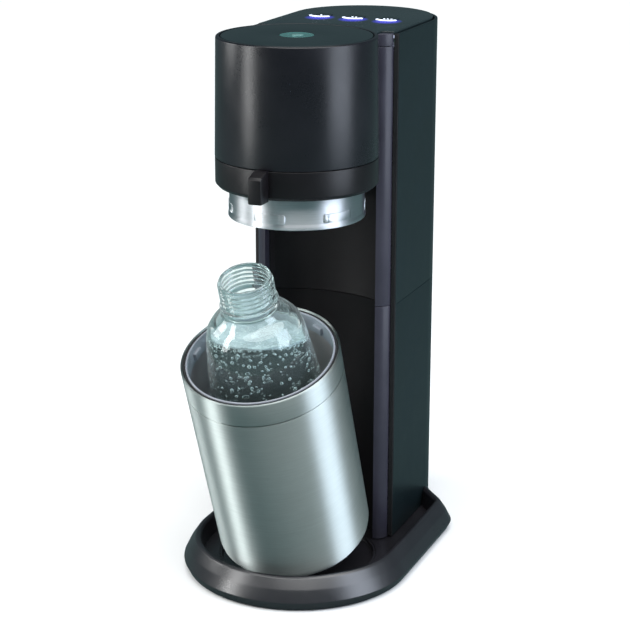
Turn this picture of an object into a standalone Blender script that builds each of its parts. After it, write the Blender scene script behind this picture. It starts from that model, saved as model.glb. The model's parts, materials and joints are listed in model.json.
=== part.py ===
"""Soda carbonator with a tilting bottle carrier.

A tall column holds a gas cylinder behind a concave front. A round head on top carries the nozzle, a lock
collar with a lever and a bayonet ring. A steel carrier with a glass bottle leans forward on a tilting seat
in the base. Sizes below are in millimetres; the helpers turn them into metres. +Z is up, the front is -Y,
and the head's axis is x = 0, y = 0 until the whole object is centred on its base.
"""

import math

import bmesh
import bpy

MM = 0.001
GAP = 0.3

# Overall and head
HEIGHT = 440.0
HEAD_TOP_R = 62.4
HEAD_LOW_R = 64.0
HEAD_LOW_Z = 346.9
LID_R = 59.0
LID_LOW_Z = 436.9
BADGE_R = 13.4
COLLAR_R = 63.9
COLLAR_LOW_Z = 323.8
RING_R = 53.1
RING_INNER_R = 50.4
RING_LOW_Z = 299.0
RING_LUG_R = 55.8
LUG_COUNT = 6
LEVER_REACH = 78.6

# Column
COLUMN_HALF = 62.4
COLUMN_FRONT_Y = 56.5
COLUMN_ARC_Y = 134.4
COLUMN_LOW_Z = 11.4
SEAM_Z = 216.0
WALL_TOP_Z = 436.5
WALL = 2.5
TAIL_Y = 158.0
TAIL_LOW_Z = 30.0
POST_INNER_X = 48.5
POST_OUTER_X = 60.2
POST_FRONT_Y = 43.8
POST_BACK_Y = 54.5
CAP_LOW_Z = 427.5
CAP_TOP_Z = 437.2
PANEL_TOP_Z = 438.2
PANEL_LOW_Z = 435.4
JACK_Z = 20.0
LATCH_Z = 400.0

# Base
BASE_HALF = 95.5
BASE_ARC_Y = 3.0
BASE_REAR_CORNER_Y = 108.0
BASE_CORNER_R = 26.0
BASE_TAPER_DEG = 48.0
PLINTH = 3.0
LEDGE_Z = 10.8
DISH_R = 64.4
DISH_FLOOR_Z = 6.9
FOOT_PLACES = ((-62, -38), (62, -38), (-58, 120), (58, 120))

# Tilting seat, carrier and bottle, upright and measured from the seat's hinge
TILT_DEG = 21.0
HINGE_Y = -55.0
HINGE_Z = 10.2
SEAT_R = 55.0
SEAT_TOP = 2.6
CARRIER_R = 62.0
CARRIER_TALL = 184.0
CARRIER_BAND = 19.5
RIM_CHAMFER = 0.6
CARRIER_EDGE_R = 9.0
LINER_R = 58.2
LINER_INNER_R = 56.5
BOTTLE_TOP = 257.0

# Gas side
CYLINDER_R = 30.0
CYLINDER_Y = 118.0
HANDLE_Z = 396.0
HANDLE_REST_DEG = 50.0
HANDLE_REACH = 52.0

# Controls
BUTTON_X = (-29.5, 0.0, 29.5)
BUTTON_Y = 120.0
BUTTON_R = 8.0
LIGHT_INNER_R = 9.6
LIGHT_OUTER_R = 11.8
BOARD_Z = 420.0
COIL_AT = (-26, -14, 0)
RELIEF_AT = (26, -14, 0)

FINE, MEDIUM, COARSE = 36, 20, 12


# ---------------------------------------------------------------- scene and materials


def cleared_scene():
    """Removes every object and returns the collections for the parts and for the cutters."""
    for obj in list(bpy.data.objects):
        bpy.data.objects.remove(obj)
    made = []
    for name in ("soda_carbonator", "cutters"):
        collection = bpy.data.collections.new(name)
        bpy.context.scene.collection.children.link(collection)
        made.append(collection)
    return made


PARTS, CUTTERS = cleared_scene()


def finish(name, colour, roughness, metallic=0.0):
    material = bpy.data.materials.new(name)
    material.use_nodes = True
    shader = material.node_tree.nodes["Principled BSDF"]
    shader.inputs["Base Color"].default_value = (*colour, 1.0)
    shader.inputs["Roughness"].default_value = roughness
    shader.inputs["Metallic"].default_value = metallic
    material.diffuse_color = (*colour, 1.0)
    return material


CHARCOAL = finish("charcoal_plastic", (0.035, 0.035, 0.045), 0.42)
SLATE = finish("slate_plastic", (0.030, 0.045, 0.050), 0.38)
GLOSS_BLACK = finish("gloss_black_plastic", (0.012, 0.011, 0.012), 0.18)
DARK = finish("black_plastic", (0.015, 0.015, 0.017), 0.5)
SATIN_METAL = finish("satin_ring_metal", (0.62, 0.64, 0.66), 0.32, 1.0)
BRUSHED = finish("brushed_steel", (0.56, 0.58, 0.57), 0.30, 1.0)
PIN_STEEL = finish("pin_steel", (0.50, 0.50, 0.52), 0.3, 1.0)
BRASS = finish("valve_brass", (0.70, 0.52, 0.24), 0.3, 1.0)
CYLINDER_PAINT = finish("cylinder_paint", (0.55, 0.56, 0.58), 0.35, 0.3)
RUBBER = finish("black_rubber", (0.02, 0.02, 0.02), 0.8)
GREY_LINER = finish("grey_liner", (0.36, 0.37, 0.38), 0.45)
GLASS = finish("clear_glass", (0.75, 0.90, 0.89), 0.03)
LIGHT = finish("light_guide", (0.85, 0.92, 1.0), 0.3)
BADGE = finish("badge_green", (0.10, 0.22, 0.20), 0.35)
PCB = finish("circuit_board", (0.02, 0.16, 0.06), 0.5)
COPPER = finish("coil_tape", (0.45, 0.20, 0.08), 0.5)
HANDLE_GREY = finish("handle_grey", (0.30, 0.31, 0.33), 0.45)


# ---------------------------------------------------------------- shape helpers


def empty(name, at, tilt_deg=0.0, parent=None):
    obj = bpy.data.objects.new(name, None)
    bpy.context.scene.collection.objects.link(obj)
    obj.location = [value * MM for value in at]
    obj.rotation_euler = (math.radians(tilt_deg), 0.0, 0.0)
    obj.parent = parent
    return obj


def placed(name, mesh, material, at=(0, 0, 0), turn_deg=(0, 0, 0), parent=None):
    """A mesh as a named part. Its origin goes to at, in its parent's frame."""
    mesh.materials.append(material)
    obj = bpy.data.objects.new(name, mesh)
    PARTS.objects.link(obj)
    obj.location = [value * MM for value in at]
    obj.rotation_euler = [math.radians(value) for value in turn_deg]
    obj.parent = parent or STAND
    return obj


def turned(name, profile, material, steps=MEDIUM, ring=False, **place):
    """A profile of (radius, height) spun about Z: down the outer side, and for a ring back up the inside."""
    mesh = bpy.data.meshes.new(name)
    edges = [(i, i + 1) for i in range(len(profile) - 1)]
    if ring:
        edges.append((len(profile) - 1, 0))
    mesh.from_pydata([(r * MM, 0.0, z * MM) for r, z in profile], edges, [])
    obj = placed(name, mesh, material, **place)
    screw = obj.modifiers.new("Turn", "SCREW")
    screw.steps = steps
    screw.render_steps = steps
    screw.use_merge_vertices = True
    screw.merge_threshold = 0.00005
    screw.use_smooth_shade = True
    return obj


def meshed(name, bm):
    bmesh.ops.recalc_face_normals(bm, faces=bm.faces)
    mesh = bpy.data.meshes.new(name)
    bm.to_mesh(mesh)
    bm.free()
    return mesh


def extruded(name, outlines, low, high, material, **place):
    """Flat outlines of (x, y) points, raised from low to high."""
    bm = bmesh.new()
    for outline in outlines:
        face = bm.faces.new([bm.verts.new((x * MM, y * MM, low * MM)) for x, y in outline])
        grown = bmesh.ops.extrude_face_region(bm, geom=[face])["geom"]
        raised = [item for item in grown if isinstance(item, bmesh.types.BMVert)]
        bmesh.ops.translate(bm, verts=raised, vec=(0, 0, (high - low) * MM))
    return placed(name, meshed(name, bm), material, **place)


def boxed(name, low, high, material, **place):
    bm = bmesh.new()
    bmesh.ops.create_cube(bm, size=MM)
    bmesh.ops.scale(bm, verts=bm.verts, vec=[b - a for a, b in zip(low, high)])
    bmesh.ops.translate(bm, verts=bm.verts, vec=[(a + b) / 2 * MM for a, b in zip(low, high)])
    return placed(name, meshed(name, bm), material, **place)


def rod(name, radius, half, material, along="X", steps=COARSE, **place):
    """A round bar centred on its origin."""
    bm = bmesh.new()
    bmesh.ops.create_cone(
        bm, cap_ends=True, segments=steps, radius1=radius * MM, radius2=radius * MM, depth=2 * half * MM
    )
    turn = {"X": (0, 90, 0), "Y": (90, 0, 0), "Z": (0, 0, 0)}[along]
    return placed(name, meshed(name, bm), material, turn_deg=turn, **place)


def bevelled(obj, width, segments=1, angle_deg=35.0):
    bevel = obj.modifiers.new("Edges", "BEVEL")
    bevel.width = width * MM
    bevel.segments = segments
    bevel.limit_method = "ANGLE"
    bevel.angle_limit = math.radians(angle_deg)
    return obj


def combined(obj, tool, operation):
    """Cuts obj with tool, or joins tool to it, and puts tool away with the cutters."""
    boolean = obj.modifiers.new(tool.name, "BOOLEAN")
    boolean.object = tool
    boolean.operation = operation
    PARTS.objects.unlink(tool)
    CUTTERS.objects.link(tool)
    tool.hide_render = True
    tool.display_type = "WIRE"
    return obj


def cut(obj, *tools):
    for tool in tools:
        combined(obj, tool, "DIFFERENCE")
    return obj


def joined(obj, *tools):
    for tool in tools:
        combined(obj, tool, "UNION")
    return obj


# ---------------------------------------------------------------- outlines


def arc(centre, radius, start_deg, end_deg, steps):
    angles = [math.radians(start_deg + (end_deg - start_deg) * i / steps) for i in range(steps + 1)]
    return [(centre[0] + radius * math.cos(a), centre[1] + radius * math.sin(a)) for a in angles]


def mirrored(points):
    """The same points on the other side of x = 0, in reverse order."""
    return [(-x, y) for x, y in reversed(points)]


def inset(outline, distance):
    """A closed outline moved inwards, each corner along its mitre. It runs anticlockwise."""
    moved = []
    for i, (x, y) in enumerate(outline):
        before, after = outline[i - 1], outline[(i + 1) % len(outline)]
        normals = []
        for (ax, ay), (bx, by) in ((before, (x, y)), ((x, y), after)):
            long = math.hypot(bx - ax, by - ay)
            normals.append((-(by - ay) / long, (bx - ax) / long))
        nx, ny = normals[0][0] + normals[1][0], normals[0][1] + normals[1][1]
        reach = 2 * distance / (nx * nx + ny * ny)
        moved.append((x + nx * reach, y + ny * reach))
    return moved


def base_outline():
    """Round front, straight sides, corners that taper in, and a plinth that follows the column's back."""
    front = arc((0, BASE_ARC_Y), BASE_HALF, 270, 360, 12)
    corner = arc((BASE_HALF - BASE_CORNER_R, BASE_REAR_CORNER_Y), BASE_CORNER_R, 0, BASE_TAPER_DEG, 4)
    back = arc((0, COLUMN_ARC_Y), COLUMN_HALF + PLINTH, 16, 90, 7)
    right = front + corner + back
    return right + mirrored(right)[1:-1]


def column_outline(grow=0.0):
    half = COLUMN_HALF + grow
    back = arc((0, COLUMN_ARC_Y), half, 0, 180, 20)
    return [(half, COLUMN_FRONT_Y - grow)] + back + [(-half, COLUMN_FRONT_Y - grow)]


def column_wall(grow=0.0, thick=WALL):
    """The column's open-fronted wall, as one closed outline."""
    outer, inner = column_outline(grow), column_outline(grow - thick)
    front_y = COLUMN_FRONT_Y - grow
    inner[0], inner[-1] = (inner[0][0], front_y), (inner[-1][0], front_y)
    return outer + inner[::-1]


def post_outline(side):
    """A front post: a bulged face between its inner and outer corners, and a flat back."""
    face = [(POST_INNER_X + 0.4, POST_FRONT_Y + 0.4)]
    for share in (0.2, 0.4, 0.6, 0.8, 1.0):
        bulge = 1.6 * math.sin(math.pi * share)
        x = POST_INNER_X + (POST_OUTER_X - POST_INNER_X) * share
        face.append((x + bulge * 0.4, POST_FRONT_Y + 8.0 * share - bulge))
    right = face + [(POST_OUTER_X, POST_BACK_Y), (POST_INNER_X + 0.8, POST_BACK_Y), (POST_INNER_X, 46.0)]
    return right if side > 0 else mirrored(right)


def recess_outline(thick=2.2):
    """The concave panel behind the carrier: short cheeks and a shallow arc between them."""
    edge_x, edge_y, deep_y = 46.5, 60.0, 72.0
    radius = (edge_x**2 + (deep_y - edge_y) ** 2) / (2 * (deep_y - edge_y))
    centre = (0, deep_y - radius)
    half_deg = math.degrees(math.asin(edge_x / radius))
    front = [(49.0, 55.2)] + arc(centre, radius, 90 - half_deg, 90 + half_deg, 10) + [(-49.0, 55.2)]
    back = [(-51.4, 55.2)] + arc(centre, radius + thick, 90 + half_deg + 1.5, 90 - half_deg - 1.5, 10)
    return front + back + [(51.4, 55.2)]


def sector(inner, outer, middle_deg, half_deg, steps=4):
    outside = arc((0, 0), outer, middle_deg - half_deg, middle_deg + half_deg, steps)
    inside = arc((0, 0), inner, middle_deg + half_deg, middle_deg - half_deg, steps)
    return outside + inside


def at_offset(outline, x, y):
    return [(px + x, py + y) for px, py in outline]


# ---------------------------------------------------------------- base


def lofted(name, rings, material, **place):
    """A closed skin through rings of points with equal counts. The first and last ring are filled flat."""
    bm = bmesh.new()
    loops = [[bm.verts.new((x * MM, y * MM, z * MM)) for x, y, z in ring] for ring in rings]
    bm.faces.new(loops[0])
    bm.faces.new(loops[-1])
    for lower, upper in zip(loops, loops[1:]):
        for i in range(len(lower)):
            j = (i + 1) % len(lower)
            bm.faces.new((lower[i], lower[j], upper[j], upper[i]))
    return placed(name, meshed(name, bm), material, **place)


def base():
    outline = base_outline()
    underside = [(14.7, 8.6), (13.0, 21.2), (11.3, 22.3), (9.4, 19.2), (2.9, 8.0), (5.9, 1.2)]
    outside = [(3.5, 1.2), (0.0, 8.0), (4.7, 17.4), (9.7, 24.9), (11.3, 26.0), (13.3, 25.8), (15.0, 24.2)]
    skirt = underside + outside + [(17.0, LEDGE_Z)]
    rings = [[(x, y, z) for x, y in inset(outline, inwards)] for inwards, z in skirt]
    shell = lofted("base_shell", rings, CHARCOAL)
    rear = [(x, y) for x, y in inset(outline, 2.0) if y > 112]
    rear_floor = extruded("rear_floor", [rear], 8.4, 10.7, CHARCOAL)
    dish_hole = rod("dish_hole", DISH_R + GAP, 20, CHARCOAL, along="Z", steps=FINE)
    column_room = extruded("column_room", [column_outline(0.4)], 11.1, 60, CHARCOAL)
    cut(joined(shell, rear_floor), dish_hole, column_room)

    extruded("bottom_plate", [inset(outline, 7.2)], 2.7, 4.4, DARK)
    for i, (x, y) in enumerate(FOOT_PLACES, 1):
        turned(f"foot_{i}", [(0, 2.4), (9, 2.4), (9, 0.6), (8.4, 0), (0, 0)], RUBBER, COARSE, at=(x, y, 0))


def dish():
    floor = DISH_FLOOR_Z
    profile = [(0, floor), (61.4, floor), (62.4, floor + 1), (62.4, 10.3), (62.9, LEDGE_Z)]
    profile += [(63.9, LEDGE_Z), (DISH_R, 10.3), (DISH_R, 5.3), (63.6, 4.9), (0, 4.9)]
    part = turned("drip_dish", profile, CHARCOAL, FINE)
    for side in (-1, 1):
        middle = side * 21.0
        foot = boxed("ear_foot", (middle - 2, HINGE_Y - 2.2, 6.0), (middle + 2, HINGE_Y + 2.2, HINGE_Z), DARK)
        joined(part, foot, rod("ear_eye", 2.4, 1.9, DARK, at=(middle, HINGE_Y, HINGE_Z)))
    cut(part, rod("ear_bore", 1.5, 28, DARK, at=(0, HINGE_Y, HINGE_Z)))
    rod("seat_pin", 1.2, 22.5, PIN_STEEL, at=(0, HINGE_Y, HINGE_Z))


def seat(hinge):
    under = 0.2
    profile = [(0, SEAT_TOP), (54.2, SEAT_TOP), (SEAT_R, 1.8), (SEAT_R, 0.2), (54, -2.3), (48, -2.3)]
    part = turned("tilting_seat", profile + [(48, under), (0, under)], DARK, MEDIUM, parent=hinge)
    part.location.y = SEAT_R * MM
    joined(
        part,
        boxed("seat_tongue", (-12, -0.6, 0.3), (12, 7, 2.3), DARK, parent=hinge),
        rod("seat_barrel", 3.0, 18, DARK, parent=hinge),
    )
    cut(part, rod("seat_bore", 1.5, 25, DARK, parent=hinge))


# ---------------------------------------------------------------- carrier and bottle


def carrier(axis):
    """The steel carrier, standing upright in the frame of its own axis."""
    outer, edge = CARRIER_R, CARRIER_EDGE_R
    wall = 1.5
    seam = CARRIER_TALL - CARRIER_BAND
    turn = [math.radians(a) for a in (0, 30, 60, 90)]
    outside = [(outer - edge + edge * math.cos(a), edge - edge * math.sin(a)) for a in turn]
    inner_edge = edge - wall
    inside = [(outer - edge + inner_edge * math.cos(a), edge - inner_edge * math.sin(a)) for a in turn]
    profile = [(0, wall)] + inside[::-1] + [(outer - wall, seam - GAP), (outer, seam - GAP)]
    turned("carrier_shell", profile + outside + [(0, 0)], BRUSHED, FINE, parent=axis)

    top = CARRIER_TALL
    band = [(outer - RIM_CHAMFER, top), (outer, top - RIM_CHAMFER), (outer, seam), (60.4, seam), (60.4, top)]
    turned("carrier_collar", band, BRUSHED, FINE, ring=True, parent=axis)
    gasket = [(60.1, top - 0.6), (60.1, top - 8), (LINER_R + GAP, top - 8), (LINER_R + GAP, top - 0.6)]
    turned("rim_gasket", gasket, RUBBER, FINE, ring=True, parent=axis)

    cup = [(0, 3.8), (50, 3.8), (54.4, 5.8), (LINER_INNER_R, 10.5), (LINER_INNER_R, top - 0.5)]
    cup += [(57.0, top), (57.8, top), (LINER_R, top - 0.5), (LINER_R, 10), (55.8, 4.2), (50, 1.8), (0, 1.8)]
    liner = turned("carrier_liner", cup, GREY_LINER, FINE, parent=axis)
    lugs = [sector(53.9, 57.3, 60 * i, 5) for i in range(LUG_COUNT)]
    joined(liner, extruded("liner_lugs", lugs, top - 11.9, top - 5.4, GREY_LINER, parent=axis))
    pad = [(0, 6.1), (39.4, 6.1), (40, 5.5), (40, 4.1), (0, 4.1)]
    turned("bottle_pad", pad, RUBBER, MEDIUM, parent=axis)


def bottle(axis):
    top, foot = BOTTLE_TOP, 6.4
    neck = [(18.6, top), (20.8, top), (21.4, top - 0.8), (21.4, top - 20), (22.6, top - 21.5)]
    neck += [(22.6, top - 24), (21.0, top - 27)]
    shoulder = [(25.5, top - 33), (32.0, top - 38), (36.4, top - 44), (38.4, top - 54)]
    body = [(42.2, top - 82), (45, top - 113), (45, 19), (43.0, 10), (36, foot)]
    inside_low = [(0, foot + 2.4), (0, foot + 6.4), (36, 12.0), (41.8, 20), (41.8, top - 113)]
    inside_mid = [(39.2, top - 83), (35.2, top - 54), (33.2, top - 46), (29.4, top - 40.5), (23, top - 35.4)]
    inside_top = [(18.6, top - 29), (17.9, top - 25), (17.9, top - 0.6)]
    outer = neck + shoulder + body + inside_low[:1]
    inner = inside_low[1:] + inside_mid + inside_top
    profile = inner + outer
    turned("glass_bottle", profile, GLASS, FINE, parent=axis)


# ---------------------------------------------------------------- column


def column():
    tail_room = boxed("tail_room", (-90, TAIL_Y - GAP, TAIL_LOW_Z - GAP), (90, 260, 300), SLATE)
    jack_hole = rod("jack_hole", 5.0, 12, SLATE, along="Y", at=(0, 192, JACK_Z))
    housing = extruded("lower_housing", [column_wall()], COLUMN_LOW_Z, SEAM_Z - GAP, SLATE)
    cut(housing, tail_room, jack_hole)

    cover = extruded("rear_cover", [column_wall()], TAIL_LOW_Z, WALL_TOP_Z, SLATE)
    lower_room = boxed("lower_room", (-90, 0, 0), (90, TAIL_Y, SEAM_Z), SLATE)
    latch_hole = rod("latch_hole", 9.4, 12, SLATE, along="Y", steps=MEDIUM, at=(0, 192, LATCH_Z))
    cut(cover, lower_room, latch_hole)
    latch = [(0, 0), (8.2, 0), (9.0, -0.8), (9.0, -6.8), (11.5, -6.8), (11.5, -8.8), (0, -8.8)]
    turned("cover_latch", latch, DARK, MEDIUM, at=(0, 198.6, LATCH_Z), turn_deg=(-90, 0, 0))

    for side, word in ((-1, "left"), (1, "right")):
        plan = [post_outline(side)]
        extruded(f"post_{word}_lower", plan, COLUMN_LOW_Z, SEAM_Z - GAP, CHARCOAL)
        extruded(f"post_{word}_upper", plan, SEAM_Z, CAP_LOW_Z - GAP, CHARCOAL)
        bevelled(extruded(f"post_{word}_cap", plan, CAP_LOW_Z, CAP_TOP_Z, CHARCOAL), 0.6)
    extruded("lower_front_panel", [recess_outline()], COLUMN_LOW_Z, SEAM_Z - GAP, GLOSS_BLACK)
    extruded("upper_front_panel", [recess_outline()], SEAM_Z, HEAD_LOW_Z - 0.9, GLOSS_BLACK)

    frame_path = [(54.5, 100), (54.5, 78), (-54.5, 78), (-54.5, 100)]
    frame_back = [(-52, 100), (-52, 80.5), (52, 80.5), (52, 100)]
    outline = frame_path[::-1] + frame_back[::-1]
    frame = extruded("column_frame", [outline], COLUMN_LOW_Z, BOARD_Z - GAP, PIN_STEEL)
    cut(frame, boxed("hose_notch", (-30, 70, 404), (30, 90, 430), PIN_STEEL))

    jack = [(4.7, 0), (4.7, -11), (2.8, -11), (2.8, 0)]
    part = turned("power_jack", jack, DARK, COARSE, ring=True, at=(0, 197.2, JACK_Z), turn_deg=(-90, 0, 0))
    joined(part, rod("jack_back", 4.2, 1.5, DARK, along="Y", at=(0, 187.2, JACK_Z)))


# ---------------------------------------------------------------- gas side


def gas_cylinder():
    at = (0, CYLINDER_Y, 0)
    cradle = [(0, 13.4), (30.8, 13.4), (30.8, 26), (34, 26), (34, COLUMN_LOW_Z), (0, COLUMN_LOW_Z)]
    turned("cylinder_cradle", cradle, DARK, MEDIUM, at=at)
    body = [(0, 335), (11.5, 335), (11.5, 327), (16, 321), (24, 313), (28.5, 304), (CYLINDER_R, 293)]
    body += [(CYLINDER_R, 20), (28.2, 15.6), (24, 13.7), (0, 13.7)]
    turned("gas_cylinder", body, CYLINDER_PAINT, MEDIUM, at=at)
    valve = [(0, 362.4), (4.6, 362.4), (5, 362), (5, 356), (9.5, 356), (10.5, 355), (10.5, 335.3), (0, 335.3)]
    turned("cylinder_valve", valve, BRASS, MEDIUM, at=at)
    connector = [(0, 383), (16, 383), (17, 382), (17, 357), (6, 357), (6, 366), (0, 366)]
    turned("valve_connector", connector, DARK, MEDIUM, at=at)


def valve_gear():
    at = (0, CYLINDER_Y, HANDLE_Z)
    block = bevelled(boxed("valve_block", (-21, 81, 388.5), (21, 140, 404), HANDLE_GREY), 1.0)
    cut(block, rod("block_bore", 2.3, 40, DARK, at=at))
    rod("handle_pin", 2.0, 26.5, PIN_STEEL, at=at)

    turn = (HANDLE_REST_DEG, 0, 0)
    swing = empty("handle_hinge", at, HANDLE_REST_DEG, STAND)
    arm = ((23, -4, -HANDLE_REACH), (26.2, 4, 5))
    handle = boxed("cylinder_handle", *arm, HANDLE_GREY, at=at, turn_deg=turn)
    other = boxed("far_arm", (-26.2, -4, -HANDLE_REACH), (-23, 4, 5), HANDLE_GREY, parent=swing)
    grip = rod("grip", 4.6, 26.2, HANDLE_GREY, parent=swing, at=(0, 0, -HANDLE_REACH))
    joined(handle, grip, other)
    cut(handle, rod("handle_bore", 2.3, 40, DARK, parent=swing))


def hose():
    """A bent tube from the valve block to the manifold, with its ends capped."""
    route = [(96, 404.6), (95.5, 408), (92, 411.5), (86, 413.6), (70, 415), (50, 416), (30, 416), (13.6, 416)]
    curve = bpy.data.curves.new("gas_hose", "CURVE")
    curve.dimensions = "3D"
    curve.bevel_depth = 2.6 * MM
    curve.bevel_resolution = 2
    curve.use_fill_caps = True
    spline = curve.splines.new("POLY")
    spline.points.add(len(route) - 1)
    for point, (y, z) in zip(spline.points, route):
        point.co = (0.0, y * MM, z * MM, 1.0)
    curve.materials.append(RUBBER)
    obj = bpy.data.objects.new("gas_hose", curve)
    PARTS.objects.link(obj)
    obj.parent = STAND


# ---------------------------------------------------------------- head


def head():
    outer = [(59.4, HEIGHT), (61.6, HEIGHT), (HEAD_TOP_R, HEIGHT - 0.8), (HEAD_LOW_R, HEAD_LOW_Z)]
    inner = [(61.4, HEAD_LOW_Z), (60.0, 434.5), (57.0, 434.5), (57.0, 436.6), (59.4, 436.6)]
    shell = turned("head_shell", outer + inner, CHARCOAL, FINE, ring=True)
    neck_out = [(-47.9, 75), (-47.9, 36), (47.9, 36), (47.9, 75)]
    neck_in = [(45.6, 75), (45.6, 38.3), (-45.6, 38.3), (-45.6, 75)]
    neck = extruded("head_neck", [neck_out + neck_in], HEAD_LOW_Z, 434.6, CHARCOAL)
    bore = rod("head_bore", 59.2, 45.0, CHARCOAL, along="Z", steps=FINE, at=(0, 0, 389.3))
    window = boxed("neck_window", (-40, 40, 362), (40, 72, 428), CHARCOAL)
    cut(joined(shell, neck), bore, window)

    lid = [(0, 439.2), (BADGE_R + GAP, 439.2), (BADGE_R + GAP, HEIGHT), (58.5, HEIGHT), (LID_R, HEIGHT - 0.5)]
    turned("head_lid", lid + [(LID_R, LID_LOW_Z), (0, LID_LOW_Z)], SLATE, FINE)
    badge = [(0, HEIGHT), (13.0, HEIGHT), (BADGE_R, HEIGHT - 0.3), (BADGE_R, 439.5), (0, 439.5)]
    turned("lid_badge", badge, BADGE, MEDIUM)


def lock():
    collar = [(61.3, 346.5), (63.4, 346.5), (COLLAR_R, 346.0), (COLLAR_R, 326.6), (63.0, 324.7)]
    collar += [(61.4, COLLAR_LOW_Z), (RING_R + 0.6, COLLAR_LOW_Z), (RING_R + 0.6, 326.2), (61.3, 326.2)]
    turned("lock_collar", collar, CHARCOAL, FINE, ring=True)

    side = [(-64.3, 323.4), (-64.3, 347.2), (-68.5, 347.2), (-77.0, 344.2), (-LEVER_REACH, 342.2)]
    side += [(-LEVER_REACH, 323.4)]
    lever = extruded("lock_lever", [side], -5.5, 5.5, CHARCOAL, turn_deg=(90, 0, 90))
    bevelled(lever, 0.9, 2, 50)

    ring = [(RING_R, 345), (RING_R, 303.4), (RING_R + 0.8, 302.0), (RING_R + 0.9, 300.2)]
    ring += [(RING_R + 0.1, RING_LOW_Z), (50.9, RING_LOW_Z), (RING_INNER_R, 300.2), (RING_INNER_R, 345)]
    bayonet = turned("bayonet_ring", ring, SATIN_METAL, FINE, ring=True)
    lugs = [sector(52.0, RING_LUG_R, 60 * i - 90, 15) for i in range(LUG_COUNT)]
    joined(bayonet, bevelled(extruded("ring_lugs", lugs, 303.9, 310.9, SATIN_METAL), 0.8))


def head_inside():
    cup = [(24.3, 404.6), (55.8, 404.6), (56.8, 403.6), (56.8, 347.4)]
    cup += [(54.8, 347.4), (54.8, 402.4), (24.3, 402.4)]
    turned("head_cup", cup, DARK, FINE, ring=True)
    block = [(0, 421), (12, 421), (13, 420), (13, 411), (40, 411), (40, 405), (23.9, 405), (23.9, 400.8)]
    turned("manifold", block + [(3.3, 400.8), (3.3, 412), (0, 412)], HANDLE_GREY, MEDIUM)
    turned("nozzle_tube", [(3, 411), (3, 315), (1.6, 314), (1.6, 411)], PIN_STEEL, COARSE, ring=True)
    seal = [(23.5, 400.5), (23.5, 396.4), (22.9, 395.8), (4, 395.8), (4, 400.5)]
    turned("bottle_seal", seal, RUBBER, MEDIUM, ring=True)
    relief = [(0, 428), (3, 428), (3, 423), (5, 422), (5, 411.3), (0, 411.3)]
    turned("relief_valve", relief, BRASS, COARSE, at=RELIEF_AT)
    coil = [(3.4, 430), (9.4, 430), (10, 429.4), (10, 411.3), (3.4, 411.3)]
    turned("solenoid_coil", coil, COPPER, MEDIUM, ring=True, at=COIL_AT)
    turned("solenoid_plunger", [(0, 433.5), (3, 433.5), (3, 415), (0, 415)], PIN_STEEL, COARSE, at=COIL_AT)


# ---------------------------------------------------------------- top panel and controls


def top_panel():
    half = COLUMN_HALF - WALL - 0.6
    neck_x, clear_r = POST_INNER_X - 0.4, HEAD_TOP_R + 0.5
    start_deg = math.degrees(math.acos(neck_x / clear_r))
    back = arc((0, COLUMN_ARC_Y), half, 0, 180, 20)
    front = arc((0, 0), clear_r, 180 - start_deg, start_deg, 12)
    outline = [(neck_x, 55.4), (half, 55.4)] + back + [(-half, 55.4), (-neck_x, 55.4)] + front
    panel = extruded("top_panel", [outline], PANEL_LOW_Z, PANEL_TOP_Z, SLATE)
    for x, word in zip(BUTTON_X, ("left", "centre", "right")):
        button_at = (x, BUTTON_Y, PANEL_TOP_Z)
        hole = rod(f"hole_{word}", BUTTON_R + 0.4, 12, SLATE, along="Z", steps=MEDIUM, at=button_at)
        slot = sector(LIGHT_INNER_R - 0.3, LIGHT_OUTER_R + 0.3, 270, 53, 8)
        slot = extruded(f"slot_{word}", [at_offset(slot, x, BUTTON_Y)], 425, 450, SLATE)
        cut(panel, hole, slot)
        cap = [(0, 0.5), (5, 0.6), (7.4, 0.9), (BUTTON_R, 0.4), (BUTTON_R, -4.2), (2.5, -4.6), (2.5, -14.3)]
        turned(f"button_{word}", cap + [(0, -14.3)], GLOSS_BLACK, MEDIUM, at=button_at)
        guide = at_offset(sector(LIGHT_INNER_R, LIGHT_OUTER_R, 270, 51, 8), x, BUTTON_Y)
        extruded(f"light_{word}", [guide], 424, PANEL_TOP_Z + 0.5, LIGHT)
    boxed("control_board", (-54, 84, BOARD_Z), (54, 142, BOARD_Z + 1.6), PCB)


# ---------------------------------------------------------------- the whole object


def centring_y():
    """How far back the whole object moves so that its box is centred. The carrier's rim is its front."""
    tilt = math.radians(TILT_DEG)
    rim_up = SEAT_TOP + GAP + CARRIER_TALL - RIM_CHAMFER
    rim_y = HINGE_Y + SEAT_R * math.cos(tilt) - rim_up * math.sin(tilt)
    front = rim_y - CARRIER_R * math.cos(tilt)
    back = COLUMN_ARC_Y + COLUMN_HALF + PLINTH
    return -(front + back) / 2


STAND = empty("stand", (0, centring_y(), 0))
HINGE = empty("seat_hinge", (0, HINGE_Y, HINGE_Z), TILT_DEG, STAND)
AXIS = empty("carrier_axis", (0, SEAT_R, SEAT_TOP + GAP), 0.0, HINGE)

base()
dish()
seat(HINGE)
carrier(AXIS)
bottle(AXIS)
column()
gas_cylinder()
valve_gear()
hose()
head()
lock()
head_inside()
top_panel()
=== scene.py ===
"""Looks for the soda carbonator: fine shells, glass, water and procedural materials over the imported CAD.

Shapes are written in millimetres in one of two frames. HEAD has its origin on the floor under the head.
LEAN stands in the leaning carrier's foot with +Z up its axis. The CAD nodes give most sizes and places.
"""

import json
import math

import bmesh
import bpy
import numpy as np
from mathutils import Matrix, Vector


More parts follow.
